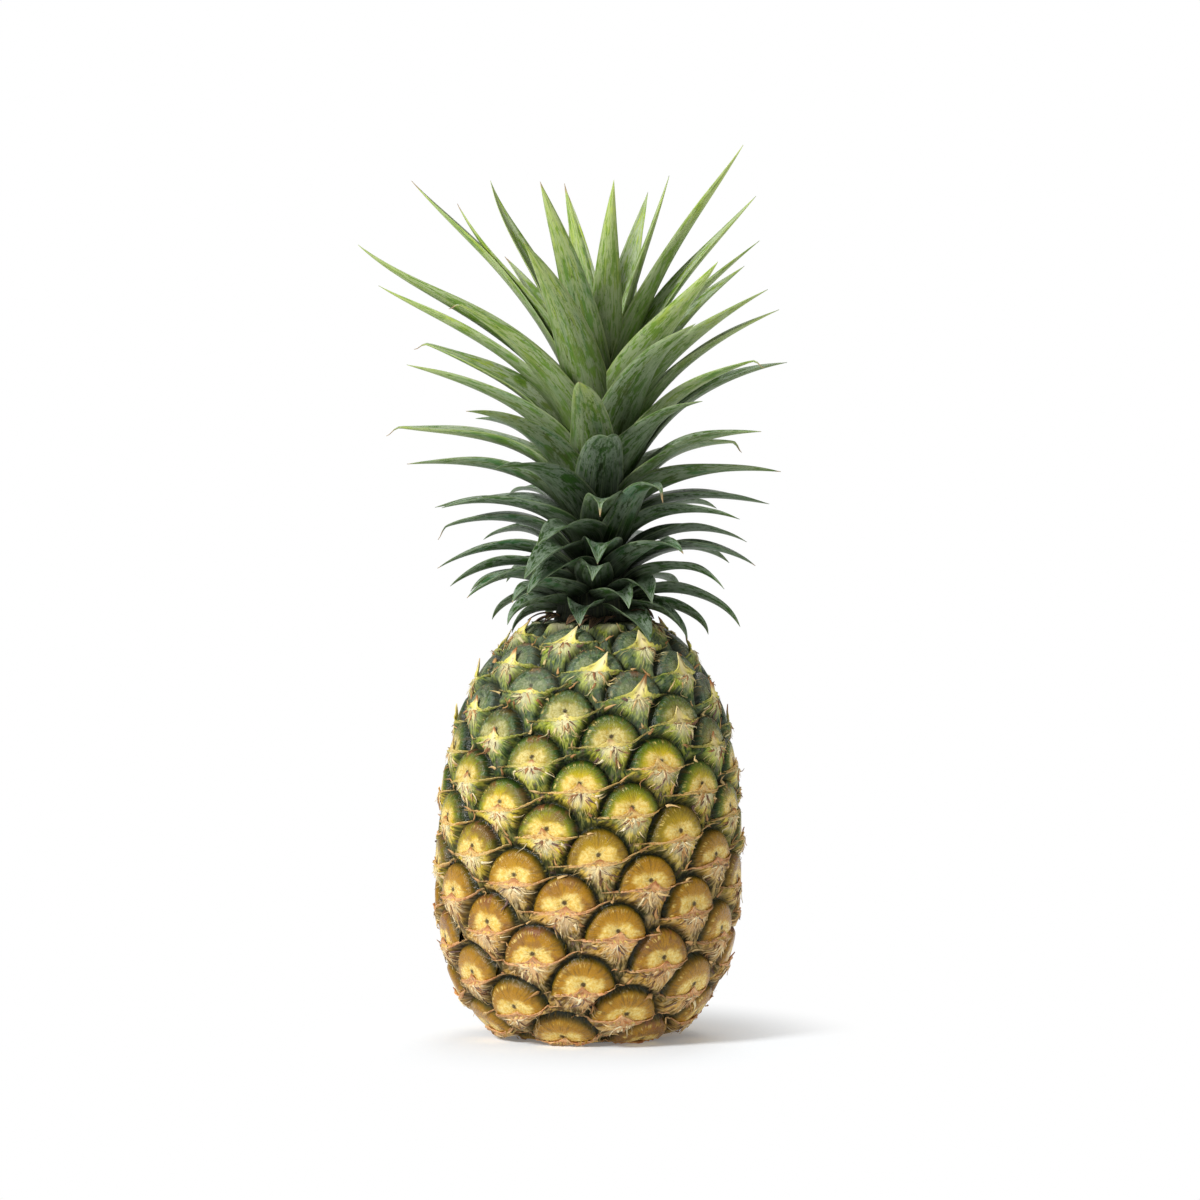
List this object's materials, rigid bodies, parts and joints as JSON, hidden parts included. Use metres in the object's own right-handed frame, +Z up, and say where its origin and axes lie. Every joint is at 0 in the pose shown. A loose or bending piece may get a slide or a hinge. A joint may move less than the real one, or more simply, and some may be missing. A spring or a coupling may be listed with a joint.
{
  "type": "pineapple",
  "caption": "Whole pineapple standing upright, with a spiral of raised eyes and a full leafy crown.",
  "frame": {"origin": "middle of the cut stalk's face, which lies in the surface that the fruit stands on", "axes": "+Z up through the fruit and its crown; the side in the picture looks along -Y, and +X is its right"},
  "size_m": [0.169, 0.1433, 0.35],
  "materials": {
    "rind": "waxy",
    "leaf": "satin",
    "cut_stalk": "matt"
  },
  "bodies": {
    "root": {"fruit": "rind", "crown": "leaf", "stalk_end": "cut_stalk"}
  },
  "joints": []
}
